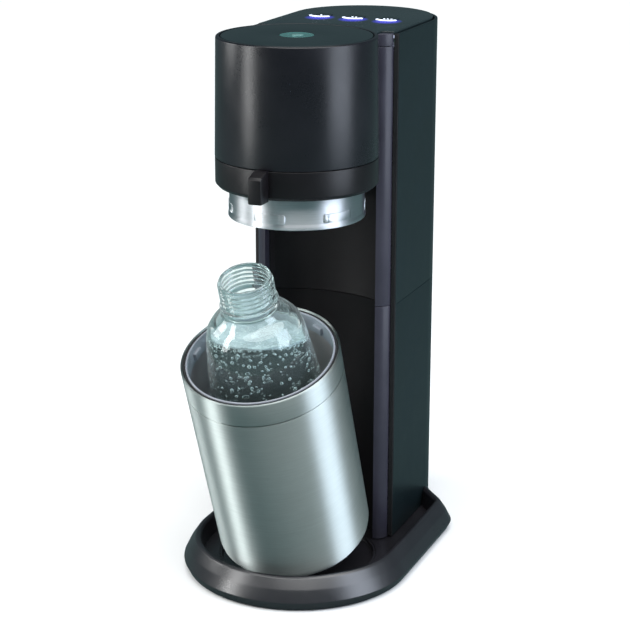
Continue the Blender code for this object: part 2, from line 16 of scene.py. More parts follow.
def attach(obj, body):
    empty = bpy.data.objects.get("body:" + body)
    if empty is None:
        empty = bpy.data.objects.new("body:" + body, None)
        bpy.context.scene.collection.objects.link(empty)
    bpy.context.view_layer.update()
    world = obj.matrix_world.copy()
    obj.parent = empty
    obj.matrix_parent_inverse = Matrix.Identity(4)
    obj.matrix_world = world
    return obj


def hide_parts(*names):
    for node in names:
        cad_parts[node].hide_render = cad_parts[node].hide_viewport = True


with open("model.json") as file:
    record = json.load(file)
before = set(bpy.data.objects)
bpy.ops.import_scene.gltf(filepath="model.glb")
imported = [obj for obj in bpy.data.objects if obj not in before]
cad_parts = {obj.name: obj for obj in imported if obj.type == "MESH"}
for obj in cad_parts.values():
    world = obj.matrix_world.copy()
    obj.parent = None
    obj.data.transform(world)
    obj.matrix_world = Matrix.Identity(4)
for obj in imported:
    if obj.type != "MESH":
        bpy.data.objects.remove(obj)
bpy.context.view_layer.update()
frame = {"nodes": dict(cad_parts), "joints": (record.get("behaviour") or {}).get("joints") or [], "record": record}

MM = 0.001
NODES = frame["nodes"]
BODY_OF = {n: body for body, nodes in frame["record"]["behaviour"]["bodies"].items() for n in nodes}
JOINTS = {joint["name"]: joint for joint in frame["joints"]}
FINE, MEDIUM, COARSE, TINY = 160, 96, 48, 24


# ---------------------------------------------------------------- frames taken from the CAD


def span(node, at):
    """Lowest and highest corner of a CAD node in millimetres, measured in the frame at."""
    back = np.array(at.inverted())
    points = np.array([v.co for v in NODES[node].data.vertices], float)
    local = (points @ back[:3, :3].T + back[:3, 3]) / MM
    return local.min(0), local.max(0)


def lean_frame():
    """The frame of the leaning carrier: its foot's centre, turned with the seat."""
    hinge = Matrix.Translation(JOINTS["seat_tilt"]["pos_m"])
    along = Vector(JOINTS["bottle_draw"]["axis"])
    hinge = hinge @ Matrix.Rotation(math.atan2(-along.y, along.z), 4, "X")
    low, high = span("carrier_shell", hinge)
    return hinge @ Matrix.Translation((0, (low[1] + high[1]) / 2 * MM, low[2] * MM))


HEAD = Matrix.Translation((0, JOINTS["lock_turn"]["pos_m"][1], 0))
LEAN = lean_frame()


def radius_of(node, at=HEAD):
    low, high = span(node, at)
    return (high[0] - low[0]) / 2


def low_of(node, at=HEAD):
    return span(node, at)[0][2]


def top_of(node, at=HEAD):
    return span(node, at)[1][2]


def middle_of(node, at=HEAD):
    low, high = span(node, at)
    return (low + high) / 2


# ---------------------------------------------------------------- materials


class Graph:
    """Short calls for the nodes of a material or a world."""

    def __init__(self, owner):
        owner.use_nodes = True
        self.owner = owner
        self.tree = owner.node_tree
        self.shader = self.tree.nodes.get("Principled BSDF")

    def set(self, socket, value):
        self.feed(self.shader.inputs[socket], value)

    def feed(self, target, value):
        if isinstance(value, bpy.types.NodeSocket):
            self.tree.links.new(value, target)
        else:
            target.default_value = value

    def add(self, kind, inputs=(), **settings):
        made = self.tree.nodes.new("ShaderNode" + kind)
        for setting, value in settings.items():
            setattr(made, setting, value)
        for socket, value in dict(inputs).items():
            self.feed(made.inputs[socket], value)
        return made

    def coords(self, scale=(1, 1, 1)):
        source = self.add("TexCoord").outputs["Object"]
        return self.add("Mapping", {"Vector": source, "Scale": scale}).outputs["Vector"]

    def noise(self, size_mm, detail=3.0, stretch=(1, 1, 1), rough=0.55):
        """Noise whose features are about size_mm across."""
        inputs = {"Vector": self.coords(stretch), "Scale": 1 / (size_mm * MM)}
        inputs |= {"Detail": detail, "Roughness": rough}
        return self.add("TexNoise", inputs).outputs["Fac"]

    def mapped(self, value, low, high, source=(0.3, 0.7)):
        inputs = {"Value": value, "From Min": source[0], "From Max": source[1], "To Min": low, "To Max": high}
        return self.add("MapRange", inputs).outputs["Result"]

    def math(self, operation, first, second, **settings):
        return self.add("Math", {0: first, 1: second}, operation=operation, **settings).outputs[0]

    def mixed(self, factor, first, second):
        made = self.add("Mix", {"Factor": factor}, data_type="RGBA")
        self.feed(made.inputs["A"], (*first, 1.0) if isinstance(first, tuple) else first)
        self.feed(made.inputs["B"], (*second, 1.0) if isinstance(second, tuple) else second)
        return made.outputs["Result"]

    def bump(self, height, depth_mm, under=None):
        inputs = {"Height": height, "Distance": depth_mm * MM, "Strength": 1.0}
        if under is not None:
            inputs["Normal"] = under
        return self.add("Bump", inputs).outputs["Normal"]


def principled(name, colour, roughness, **sockets):
    """The graph of a new Principled material. An underscore in a socket's name stands for a space."""
    graph = Graph(bpy.data.materials.new(name))
    graph.set("Base Color", (*colour, 1.0))
    graph.set("Roughness", roughness)
    for socket, value in sockets.items():
        graph.set(socket.replace("_", " "), value)
    return graph


def shade(colour, share):
    return tuple(min(1.0, channel * share) for channel in colour)


def moulded(name, colour, roughness, grain_mm=0.35, grain_depth=0.012, **sockets):
    """Moulded plastic: a fine grain, soft blotches of colour and an uneven sheen."""
    graph = principled(name, colour, roughness, **sockets)
    blotch = graph.noise(38, 3)
    graph.set("Base Color", graph.mixed(graph.mapped(blotch, 0, 1), shade(colour, 0.86), shade(colour, 1.14)))
    grain = graph.noise(grain_mm, 2)
    worn = graph.math("ADD", graph.mapped(blotch, -0.04, 0.04), graph.mapped(grain, -0.03, 0.03))
    graph.set("Roughness", graph.math("ADD", worn, roughness))
    sag = graph.bump(graph.noise(14, 1), 0.02)
    graph.set("Normal", graph.bump(grain, grain_depth, sag))
    return graph.owner


def brushed_metal(name, colour, roughness, line_mm=0.12, line_depth=0.004, along=(0.02, 0.02, 1), **sockets):
    """Metal with fine lines. along is small in the directions that the lines run in."""
    graph = principled(name, colour, roughness, Metallic=1.0, **sockets)
    lines = graph.noise(line_mm, 3, along, 0.7)
    cloud = graph.noise(30, 3)
    tone = graph.mixed(graph.mapped(lines, 0, 1, (0.2, 0.8)), shade(colour, 0.82), shade(colour, 1.1))
    graph.set("Base Color", graph.mixed(graph.mapped(cloud, 0, 0.35), tone, shade(colour, 0.9)))
    uneven = graph.math("ADD", graph.mapped(lines, -0.04, 0.04), graph.mapped(cloud, -0.03, 0.03))
    graph.set("Roughness", graph.math("ADD", uneven, roughness))
    graph.set("Normal", graph.bump(lines, line_depth))
    return graph.owner


def turned_metal(name, colour, roughness, stretch):
    """Metal brushed round its axis, which draws each highlight out into a band along the axis."""
    sockets = {"Anisotropic": stretch, "Anisotropic_Rotation": 0.25}
    graph = Graph(brushed_metal(name, colour, roughness, 0.5, 0.006, **sockets))
    graph.set("Tangent", graph.add("Tangent", direction_type="RADIAL", axis="Z").outputs[0])
    return graph.owner


def rubber(name, colour):
    graph = principled(name, colour, 0.75)
    dust = graph.noise(6, 4)
    graph.set("Base Color", graph.mixed(graph.mapped(dust, 0, 1), colour, shade(colour, 1.8)))
    graph.set("Roughness", graph.mapped(dust, 0.68, 0.86))
    graph.set("Normal", graph.bump(graph.noise(0.5, 2), 0.02))
    return graph.owner


def bottle_glass():
    """Thick clear glass with a pale aqua tint. Lamp rays pass straight, so that what is inside is lit."""
    graph = principled("clear_glass", (0.85, 0.95, 0.945), 0.02, Transmission_Weight=1.0, IOR=1.5)
    # Towards the edges the glass turns partly opaque pale aqua. The aqua tint is the glass's own; the lighter
    # opaque share is a painted sheen for the bright rim of the thick glass.
    edge = graph.add("LayerWeight", {"Blend": 0.35}).outputs["Facing"]
    graph.set("Transmission Weight", graph.mapped(edge, 0.985, 0.70, (0.4, 0.95)))
    graph.set("Normal", graph.bump(graph.noise(16, 2), 0.10))
    let_through_lamps(graph, (0.92, 0.975, 0.97))
    return graph.owner


def let_through_lamps(graph, tint):
    """Lets lamp rays through a glass-like material."""
    clear = graph.add("BsdfTransparent", {"Color": (*tint, 1.0)}).outputs[0]
    lamp_ray = graph.add("LightPath").outputs["Is Shadow Ray"]
    mix = graph.add("MixShader", {0: lamp_ray, 1: graph.shader.outputs[0], 2: clear}).outputs[0]
    graph.feed(graph.tree.nodes["Material Output"].inputs["Surface"], mix)


def water_clear():
    graph = principled("water", (0.80, 0.86, 0.87), 0.0, Transmission_Weight=1.0, IOR=1.333)
    graph.set("Normal", graph.bump(graph.noise(9, 2), 0.15))
    let_through_lamps(graph, (0.90, 0.94, 0.95))
    return graph.owner


def froth_and_reflection():
    """The fizzing surface: pale, wet and finely broken. Its pale colour is partly real froth and partly a painted
    reflection of the bright studio on the water.
    """
    graph = principled("froth_and_reflection", (0.24, 0.27, 0.28), 0.25)
    fine, broad = graph.noise(2.2, 4), graph.noise(13, 3)
    graph.set("Base Color", graph.mixed(graph.mapped(broad, 0, 1), (0.16, 0.19, 0.205), (0.30, 0.335, 0.35)))
    graph.set("Roughness", graph.mapped(fine, 0.1, 0.35))
    graph.set("Normal", graph.bump(fine, 0.1, graph.bump(broad, 0.7)))
    return graph.owner


def bubble_skin():
    graph = principled("bubble", (0.95, 0.96, 0.96), 0.08, Transmission_Weight=0.35, IOR=1.1)
    # Towards its rim each bubble turns opaque white: a painted reflection standing in for the bright ring at a
    # bubble's edge.
    edge = graph.add("LayerWeight", {"Blend": 0.5}).outputs["Facing"]
    graph.set("Transmission Weight", graph.mapped(edge, 0.9, 0.0, (0.25, 0.55)))
    film = graph.mapped(graph.noise(7, 1), 0, 1)
    graph.set("Base Color", graph.mixed(film, (0.84, 0.88, 0.89), (0.98, 0.98, 0.98)))
    graph.set("Normal", graph.bump(graph.noise(1.5, 1), 0.05))
    return graph.owner


def lamp_glow():
    """A lit light guide: bright white with a hint of blue."""
    graph = principled("lamp", (0.85, 0.9, 1.0), 0.3, Emission_Strength=1.25)
    cells = graph.noise(3.0, 2)
    graph.set("Emission Color", graph.mixed(graph.mapped(cells, 0, 1), (0.62, 0.72, 1.0), (0.85, 0.92, 1.0)))
    return graph.owner


def badge_finish(name, colour):
    graph = principled(name, colour, 0.22, Coat_Weight=0.5)
    swirl = graph.noise(5, 3)
    graph.set("Base Color", graph.mixed(graph.mapped(swirl, 0, 1), shade(colour, 0.8), shade(colour, 1.2)))
    graph.set("Normal", graph.bump(graph.noise(1.2, 2), 0.01))
    return graph.owner


CHARCOAL = moulded("charcoal", (0.0048, 0.0045, 0.0074), 0.31, 1.0, 0.03, Specular_IOR_Level=0.5)
BASE_BLACK = moulded("base_black", (0.0098, 0.0090, 0.0118), 0.32, 1.0, 0.03, Specular_IOR_Level=1.0)
COLLAR_BLACK = moulded("collar_black", (0.0054, 0.0044, 0.0056), 0.36, 1.0, 0.03, Specular_IOR_Level=0.34)
POST_GREY = moulded("post_grey", (0.031, 0.030, 0.044), 0.36, 1.0, 0.02, Specular_IOR_Level=0.34)
SLATE = moulded("slate", (0.0085, 0.0155, 0.018), 0.34, 0.3, 0.006, Specular_IOR_Level=0.4)
# A darker, duller copy of the slate plastic for the column's walls: painted shade for sides that get less light.
SHADED_WALL_SLATE = moulded("shaded_wall_slate", (0.0062, 0.0118, 0.0140), 0.36, 0.3, 0.006, Specular_IOR_Level=0.24)
RECESS_BLACK = moulded("recess_black", (0.0085, 0.0078, 0.0086), 0.5, 0.3, 0.006, Specular_IOR_Level=0.14)
DARK = moulded("dark_plastic", (0.012, 0.012, 0.014), 0.48)
RING_METAL = turned_metal("ring_metal", (0.84, 0.86, 0.89), 0.52, 0.95)
STEEL = turned_metal("carrier_steel", (0.53, 0.585, 0.575), 0.54, 1.0)
CUP_METAL = turned_metal("cup_metal", (0.48, 0.44, 0.445), 0.50, 0.5)
PIN = brushed_metal("pin_metal", (0.52, 0.52, 0.54), 0.28)
BRASS = brushed_metal("brass", (0.72, 0.52, 0.25), 0.3)
PAINT = moulded("cylinder_grey", (0.42, 0.43, 0.45), 0.3, 0.8, 0.02, Coat_Weight=0.4)
RUBBER = rubber("rubber", (0.006, 0.006, 0.007))
LINER = moulded("liner_grey", (0.25, 0.265, 0.30), 0.30, 0.4, 0.006)
HANDLE = moulded("handle_plastic", (0.26, 0.27, 0.29), 0.4)
BOARD = moulded("board_green", (0.015, 0.13, 0.05), 0.35, 1.5, 0.03)
TAPE = moulded("coil_tape", (0.40, 0.17, 0.07), 0.45, 0.9, 0.05)
PANEL_KEY = moulded("panel_key", (0.010, 0.016, 0.018), 0.24, 0.3, 0.004)
LAMP = lamp_glow()
BADGE = badge_finish("badge", (0.05, 0.16, 0.15))
BADGE_MARK = badge_finish("badge_mark", (0.16, 0.33, 0.31))
GLASS = bottle_glass()
WATER = water_clear()
FROTH_AND_REFLECTION = froth_and_reflection()
BUBBLE = bubble_skin()

CAD_FINISH = {
    "charcoal_plastic": CHARCOAL,
    "slate_plastic": SLATE,
    "gloss_black_plastic": RECESS_BLACK,
    "black_plastic": DARK,
    "handle_grey": HANDLE,
    "satin_ring_metal": RING_METAL,
    "brushed_steel": STEEL,
    "pin_steel": PIN,
    "valve_brass": BRASS,
    "cylinder_paint": PAINT,
    "black_rubber": RUBBER,
    "grey_liner": LINER,
    "clear_glass": GLASS,
    "circuit_board": BOARD,
    "coil_tape": TAPE,
}


# ---------------------------------------------------------------- shape helpers


def rounded(corners, steps=4):
    """A closed outline of (x, y) or (x, y, radius) corners, with an arc at each corner that has a radius."""
    points = []
    for i, (x, y, *radius) in enumerate(corners):
        if not radius:
            points.append((x, y))
            continue
        corner = Vector((x, y))
        before = (Vector(corners[i - 1][:2]) - corner).normalized()
        after = (Vector(corners[(i + 1) % len(corners)][:2]) - corner).normalized()
        half = before.angle(after) / 2
        centre = corner + (before + after).normalized() * radius[0] / math.sin(half)
        start = corner + before * radius[0] / math.tan(half) - centre
        end = corner + after * radius[0] / math.tan(half) - centre
        sweep = start.angle_signed(end)
        for k in range(steps + 1):
            turn = Matrix.Rotation(-sweep * k / steps, 2)
            points.append(tuple(centre + turn @ start))
    return points


def arc(centre, radius, start_deg, end_deg, steps):
    angles = [math.radians(start_deg + (end_deg - start_deg) * i / steps) for i in range(steps + 1)]
    return [(centre[0] + radius * math.cos(a), centre[1] + radius * math.sin(a)) for a in angles]


def mirrored(points):
    """The same points on the other side of x = 0, in reverse order."""
    return [(-x, y, *rest) for x, y, *rest in reversed(points)]


def inset(outline, distance):
    """A closed outline moved inwards, each corner along its mitre. It runs anticlockwise."""
    points = np.array(outline, float)
    ahead = np.roll(points, -1, 0) - points
    ahead /= np.linalg.norm(ahead, axis=1)[:, None]
    normals = np.stack([-ahead[:, 1], ahead[:, 0]], 1)
    both = normals + np.roll(normals, 1, 0)
    reach = 2 * distance / (both**2).sum(1)
    return [tuple(p) for p in points + both * reach[:, None]]


def placed(name, data, at=Matrix()):
    """A new object in the scene."""
    obj = bpy.data.objects.new(name, data)
    bpy.context.scene.collection.objects.link(obj)
    obj.matrix_world = at
    return obj


def piece(name, bm, material, at, node=None, body=None, sharp_deg=32.0):
    """A finished mesh in millimetres as a piece at a frame, smooth except at its sharp edges."""
    bmesh.ops.scale(bm, verts=bm.verts, vec=(MM, MM, MM))
    bmesh.ops.remove_doubles(bm, verts=bm.verts, dist=1e-6)
    bmesh.ops.recalc_face_normals(bm, faces=bm.faces)
    if bm.calc_volume(signed=True) < 0:
        bmesh.ops.reverse_faces(bm, faces=bm.faces)
    mesh = bpy.data.meshes.new(name)
    bm.to_mesh(mesh)
    bm.free()
    mesh.materials.append(material)
    obj = placed(name, mesh, at)
    smoothed(obj, sharp_deg)
    if node or body:
        stand_in(obj, node, body)
    return obj


def smoothed(obj, sharp_deg=32.0):
    obj.data.shade_smooth()
    obj.data.set_sharp_from_angle(angle=math.radians(sharp_deg))


def stand_in(obj, node=None, body=None):
    """obj rides on a CAD node's body and stands for that node, or only rides on a body."""
    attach(obj, body or BODY_OF[node])
    if node:
        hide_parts(node)


def spun(profile, steps, ring, shape=None):
    """A profile of (radius, height) turned about Z. shape(radius, height, angle) can move the points."""
    bm = bmesh.new()
    columns = []
    for radius, height in profile:
        if radius < 1e-6:
            columns.append([bm.verts.new((0, 0, height))] * steps)
            continue
        column = []
        for i in range(steps):
            angle = 2 * math.pi * i / steps
            r, z = shape(radius, height, angle) if shape else (radius, height)
            column.append(bm.verts.new((r * math.cos(angle), r * math.sin(angle), z)))
        columns.append(column)
    pairs = list(zip(columns, columns[1:])) + ([(columns[-1], columns[0])] if ring else [])
    for upper, lower in pairs:
        for i in range(steps):
            j = (i + 1) % steps
            corners = list(dict.fromkeys((upper[i], upper[j], lower[j], lower[i])))
            if len(corners) > 2:
                bm.faces.new(corners)
    return bm


def turned(name, corners, material, node=None, at=HEAD, steps=FINE, body=None, centre=(0, 0), shape=None):
    """A turned piece. A profile that leaves the axis open is a closed ring."""
    profile = rounded(corners)
    ring = corners[0][0] > 0 or corners[-1][0] > 0
    bm = spun(profile, steps, ring, shape)
    bmesh.ops.translate(bm, verts=bm.verts, vec=(*centre, 0))
    return piece(name, bm, material, at, node, body)


def lofted(rings):
    """A closed skin through rings with equal counts of points."""
    bm = bmesh.new()
    loops = [[bm.verts.new(point) for point in ring] for ring in rings]
    bm.faces.new(loops[0])
    bm.faces.new(loops[-1])
    for lower, upper in zip(loops, loops[1:]):
        for i in range(len(lower)):
            j = (i + 1) % len(lower)
            bm.faces.new((lower[i], lower[j], upper[j], upper[i]))
    return bm


def prism_mesh(outline, low, high, edge=0.5, steps=3):
    """An upright prism with rounded rims."""
    quarter = [math.radians(90 * i / steps) for i in range(steps + 1)]
    rims = [(edge * (1 - math.sin(a)), low + edge * (1 - math.cos(a))) for a in quarter]
    rims += [(edge * (1 - math.cos(a)), high - edge * (1 - math.sin(a))) for a in quarter]
    return lofted([[(x, y, z) for x, y in inset(outline, inwards)] for inwards, z in rims])


def prism(name, outline, low, high, material, node=None, at=HEAD, edge=0.5, body=None):
    return piece(name, prism_mesh(outline, low, high, edge), material, at, node, body)


def cutter(bm, at=HEAD):
    """A shape for cut() or joined() to use up."""
    return piece("cutter", bm, DARK, at)


def block(low, high):
    bm = bmesh.new()
    bmesh.ops.create_cube(bm, size=1)
    bmesh.ops.scale(bm, verts=bm.verts, vec=[b - a for a, b in zip(low, high)])
    bmesh.ops.translate(bm, verts=bm.verts, vec=[(a + b) / 2 for a, b in zip(low, high)])
    return bm


def barrel(radius, low, high, centre=(0, 0), steps=FINE, along="Z"):
    """A plain round bar from low to high along an axis, for cutting and joining."""
    bm = spun([(0, high), (radius, high), (radius, low), (0, low)], steps, False)
    if along == "Y":
        bmesh.ops.rotate(bm, verts=bm.verts, matrix=Matrix.Rotation(math.radians(-90), 3, "X"))
        bmesh.ops.translate(bm, verts=bm.verts, vec=(centre[0], 0, centre[1]))
    elif along == "X":
        bmesh.ops.rotate(bm, verts=bm.verts, matrix=Matrix.Rotation(math.radians(90), 3, "Y"))
        bmesh.ops.translate(bm, verts=bm.verts, vec=(0, centre[0], centre[1]))
    else:
        bmesh.ops.translate(bm, verts=bm.verts, vec=(*centre, 0))
    return bm


def booled(obj, tools, operation):
    """Takes the tools off obj, or adds them to it, and uses them up."""
    for tool in tools:
        boolean = obj.modifiers.new("Shape", "BOOLEAN")
        boolean.object = tool
        boolean.operation = operation
    bpy.context.view_layer.update()
    shaped = bpy.data.meshes.new_from_object(obj.evaluated_get(bpy.context.evaluated_depsgraph_get()))
    obj.modifiers.clear()
    obj.data = shaped
    smoothed(obj)
    for tool in tools:
        bpy.data.objects.remove(tool)


def cut(obj, *tools):
    booled(obj, tools, "DIFFERENCE")


def joined(obj, *tools):
    booled(obj, tools, "UNION")


def softened(obj, width=0.4, segments=2, angle_deg=40.0):
    bevel = obj.modifiers.new("Edges", "BEVEL")
    bevel.width = width * MM
    bevel.segments = segments
    bevel.limit_method = "ANGLE"
    bevel.angle_limit = math.radians(angle_deg)
    bevel.harden_normals = False
    return obj


def smooth(points, per=6):
    """A Catmull-Rom curve through the points."""
    way = np.array([points[0], *points, points[-1]], float)
    found = []
    for a, b, c, d in zip(way, way[1:], way[2:], way[3:]):
        square, cube = 2 * a - 5 * b + 4 * c - d, 3 * b - a - 3 * c + d
        for t in np.linspace(0, 1, per, endpoint=False):
            found.append(tuple(0.5 * (2 * b + (c - a) * t + square * t**2 + cube * t**3)))
    return found + [tuple(points[-1])]


# ---------------------------------------------------------------- outlines shared by several pieces

COLUMN_HALF = radius_of("lower_housing")
COLUMN_FRONT_Y = span("lower_housing", HEAD)[0][1]
TAIL_Y = span("lower_housing", HEAD)[1][1]
ARC_Y = span("rear_cover", HEAD)[1][1] - COLUMN_HALF
WALL = 2.5
SEAM_Z = top_of("lower_front_panel") + 0.3


def column_outline(grow=0.0):
    half = COLUMN_HALF + grow
    back = arc((0, ARC_Y), half, 0, 180, 72)
    return [(half, COLUMN_FRONT_Y - grow)] + back + [(-half, COLUMN_FRONT_Y - grow)]


def column_wall():
    outer, inner = column_outline(), column_outline(-WALL)
    inner[0], inner[-1] = (inner[0][0], COLUMN_FRONT_Y), (inner[-1][0], COLUMN_FRONT_Y)
    return outer + inner[::-1]


BASE_HALF = radius_of("base_shell")
BASE_ARC_Y = 3.0
BASE_REAR_CORNER = (108.0, 26.0)
BASE_TAPER_DEG = 48.0
PLINTH = 3.0
LEDGE_Z = 10.8


def base_outline():
    """Round front, straight sides, corners that taper in, and a plinth that follows the column's back."""
    corner_y, corner_r = BASE_REAR_CORNER
    front = arc((0, BASE_ARC_Y), BASE_HALF, 270, 360, 60)
    corner = arc((BASE_HALF - corner_r, corner_y), corner_r, 0, BASE_TAPER_DEG, 14)
    back = arc((0, ARC_Y), COLUMN_HALF + PLINTH, 16, 90, 36)
    right = front + corner + back
    return right + mirrored(right)[1:-1]


def sector(inner, outer, middle_deg, half_deg, centre=(0, 0), steps=24):
    outside = arc(centre, outer, middle_deg - half_deg, middle_deg + half_deg, steps)
    inside = arc(centre, inner, middle_deg + half_deg, middle_deg - half_deg, steps)
    return outside + inside


# ---------------------------------------------------------------- base, dish and seat


def base():
    outline = base_outline()
    under = [(14.7, 8.6), (13.0, 21.2, 0.5), (11.3, 22.3, 0.5), (9.4, 19.2, 1)]
    under += [(2.9, 8.0, 1), (5.9, 1.2, 0.4)]
    over = [(3.5, 1.2, 0.7), (0.0, 8.0, 1.6), (4.7, 17.4, 14), (9.7, 24.9, 2.0), (11.3, 26.0, 1.0)]
    over += [(13.3, 25.8, 0.9), (15.0, 24.2, 2.0), (17.0, LEDGE_Z)]
    skirt = rounded(under + over, 5)
    rings = [[(x, y, z) for x, y in inset(outline, inwards)] for inwards, z in skirt]
    shell = piece("base_tray", lofted(rings), BASE_BLACK, HEAD, "base_shell")
    rear = [(x, y) for x, y in inset(outline, 2.0) if y > 112]
    floor = cutter(prism_mesh(rear, 8.4, 10.7, 0.1))
    hole = cutter(barrel(radius_of("drip_dish") + 0.3, -20, 40))
    room = cutter(prism_mesh(column_outline(0.4), 11.1, 60, 0.1))
    joined(shell, floor)
    cut(shell, hole, room)
    sole = [(0, 2.4), (9, 2.4, 0.3), (9, 0, 0.6), (6.5, 0, 0.2), (6.2, 0.5, 0.2), (0, 0.5)]
    for n in range(1, 5):
        x, y, _ = middle_of(f"foot_{n}")
        turned(f"rubber_foot_{n}", sole, RUBBER, f"foot_{n}", steps=COARSE, centre=(x, y))


def dish():
    floor = 6.9
    rim = radius_of("drip_dish")
    profile = [(0, floor), (rim - 2.2, floor, 1.6), (rim - 1.8, LEDGE_Z, 0.4), (rim, LEDGE_Z, 0.5)]
    profile += [(rim, 4.9, 0.6), (0, 4.9)]
    turned("dish_bowl", profile, BASE_BLACK, "drip_dish")
    hinge = JOINTS["seat_tilt"]["pos_m"]
    hinge_y, hinge_z = hinge[1] / MM - HEAD.translation.y / MM, hinge[2] / MM
    for side, word in ((-1, "left"), (1, "right")):
        low, high = sorted((side * 19.1, side * 22.9))
        foot = block((low + 0.1, hinge_y - 2.2, 6.0), (high - 0.1, hinge_y + 2.2, hinge_z))
        ear = piece(f"seat_ear_{word}", foot, DARK, HEAD)
        joined(ear, cutter(barrel(2.4, low, high, (hinge_y, hinge_z), COARSE, "X")))
        cut(ear, cutter(barrel(1.5, -40, 40, (hinge_y, hinge_z), COARSE, "X")))
        stand_in(softened(ear, 0.25), body="machine")


def seat():
    hinge = Matrix.Translation(JOINTS["seat_tilt"]["pos_m"]) @ LEAN.to_3x3().to_4x4()
    low, high = span("tilting_seat", hinge)
    reach = (high[0] - low[0]) / 2
    profile = [(0, 2.6), (reach - 2.5, 2.6, 0.6), (reach, 2.0, 0.8), (reach, 0.2, 0.4), (54, -2.3, 0.3)]
    profile += [(48, -2.3, 0.3), (48, 0.2), (0, 0.2)]
    plate = turned("seat_plate", profile, DARK, "tilting_seat", hinge, centre=(0, high[1] - reach))
    for n, radius in enumerate((18, 30, 42), 1):
        rib = [(radius - 0.6, 2.3), (radius - 0.6, 2.75, 0.2), (radius + 0.6, 2.75, 0.2), (radius + 0.6, 2.3)]
        turned(f"seat_rib_{n}", rib, DARK, at=hinge, body="seat", centre=(0, high[1] - reach), steps=MEDIUM)
    tongue = cutter(block((-12, -0.6, 0.3), (12, 7, 2.3)), hinge)
    rod = cutter(barrel(3.0, -18, 18, (0, 0), COARSE, "X"), hinge)
    joined(plate, tongue, rod)
    cut(plate, cutter(barrel(1.5, -25, 25, (0, 0), COARSE, "X"), hinge))


# ---------------------------------------------------------------- carrier


CUP_BAND = 15.0
LUG_R = 53.9


def carrier():
    radius, top = radius_of("carrier_shell", LEAN), top_of("carrier_collar", LEAN)
    seam = low_of("carrier_collar", LEAN)
    shell = [(0, 1.5), (radius - 1.5, 1.5, 7.5), (radius - 1.5, seam - 0.7), (radius, seam - 0.7, 0.7)]
    shell += [(radius, 0, 9.0), (48, 0, 0.5), (47, 0.8, 0.5), (0, 0.8)]
    turned("steel_carrier", shell, STEEL, "carrier_shell", LEAN)
    band = [(radius - 1.6, top, 0.3), (radius, top, 0.7), (radius, seam, 0.7), (radius - 1.6, seam)]
    turned("steel_band", band, STEEL, "carrier_collar", LEAN)

    outer, wall = radius_of("rim_gasket", LEAN), radius_of("carrier_liner", LEAN)
    gasket = [(outer, top - 0.6, 0.6), (outer, top - 8), (wall + 0.3, top - 8), (wall + 0.3, top - 0.6, 0.5)]
    turned("rim_seal", gasket, RUBBER, "rim_gasket", LEAN)
    bore = wall - 1.7
    step = top - CUP_BAND
    cup = [(0, 3.8), (bore + 0.7, 3.8, 7.0), (bore + 0.7, step), (wall, step), (wall, 1.8, 8.0), (0, 1.8)]
    turned("inner_cup", cup, CUP_METAL, "carrier_liner", LEAN)
    band = [(bore, top, 0.8), (wall, top, 0.8), (wall, step + 0.1), (bore, step + 0.1, 0.5)]
    turned("cup_band", band, LINER, at=LEAN, body="carrier")
    for n in range(6):
        lug = sector(LUG_R, bore + 0.6, 60 * n, 5)
        prism(f"cup_lug_{n + 1}", lug, top - 11.9, top - 5.4, LINER, at=LEAN, edge=0.7, body="carrier")
    pad = [(0, 6.1), (40, 6.1, 0.6), (40, 4.1, 0.3), (0, 4.1)]
    turned("foam_pad", pad, RUBBER, "bottle_pad", LEAN, MEDIUM)


# ---------------------------------------------------------------- bottle, water and bubbles

BOTTLE_TOP = top_of("glass_bottle", LEAN)
BOTTLE_FOOT = low_of("glass_bottle", LEAN)
BOTTLE_R = radius_of("glass_bottle", LEAN)
BORE_R = 17.9
NECK_R = 21.4
THREAD_PITCH = 3.7
THREAD_DEPTH = 1.35
WATER_LEVEL = 221.0
BUBBLES = 700


def threaded(radius, height, angle):
    """Moves the neck's wall out along a helix that fades at both ends."""
    down = BOTTLE_TOP - height
    if not 1.0 < down < 20.5 or radius < 19.0:
        return radius, height
    phase = (down / THREAD_PITCH + angle / (2 * math.pi)) % 1.0
    ridge = max(0.0, 1 - abs(phase - 0.5) / 0.36) ** 0.7
    fade = min(1.0, max(0.0, (down - 1.6) / 2.2)) * min(1.0, max(0.0, (20.0 - down) / 2.2))
    return radius + THREAD_DEPTH * ridge * fade, height


def from_top(points):
    """Points of (radius, distance below the bottle's top) as (radius, height)."""
    return [(radius, BOTTLE_TOP - down) for radius, down in points]


def bottle_inside():
    wall = BOTTLE_R - 3.2
    heel = rounded([(0, BOTTLE_FOOT + 6.4), (wall, BOTTLE_FOOT + 5.6, 9.0), (wall, BOTTLE_TOP - 167)], 8)
    body = [(41.8, 167), (41.8, 119), (40.6, 97), (38.0, 75), (35.4, 55), (32.6, 45), (27.0, 38)]
    neck = [(27.0, 38), (21.6, 33.6), (18.7, 29), (BORE_R, 23), (BORE_R, 1.5)]
    return heel[:-1] + smooth(from_top(body))[:-1] + smooth(from_top(neck))


